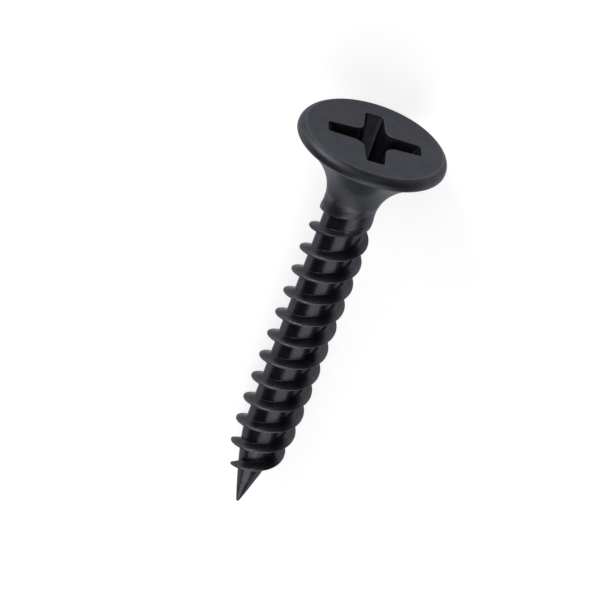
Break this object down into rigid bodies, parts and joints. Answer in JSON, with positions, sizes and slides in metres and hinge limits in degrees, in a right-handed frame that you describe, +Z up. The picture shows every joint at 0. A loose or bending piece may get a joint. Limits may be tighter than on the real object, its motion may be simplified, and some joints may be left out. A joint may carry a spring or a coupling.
{
  "type": "plasterboard screw",
  "caption": "Bugle-head plasterboard screw with a fine twin-start thread, a sharp point and a cross recess, lying at rest on its head's rim and the thread near its point.",
  "frame": {"origin": "the point on the surface under the middle of the screw, which is the centre of its bounding box's bottom", "axes": "+Z is up, away from the surface the screw lies on; +X runs from the screw's point to its head, with its axis climbing about 7.3 degrees towards the head; +Y is across the screw"},
  "size_m": [0.024, 0.008, 0.008],
  "materials": {
    "black_phosphate": "satin black phosphate coating on hardened steel"
  },
  "bodies": {
    "root": {"screw": "black_phosphate"}
  },
  "joints": []
}
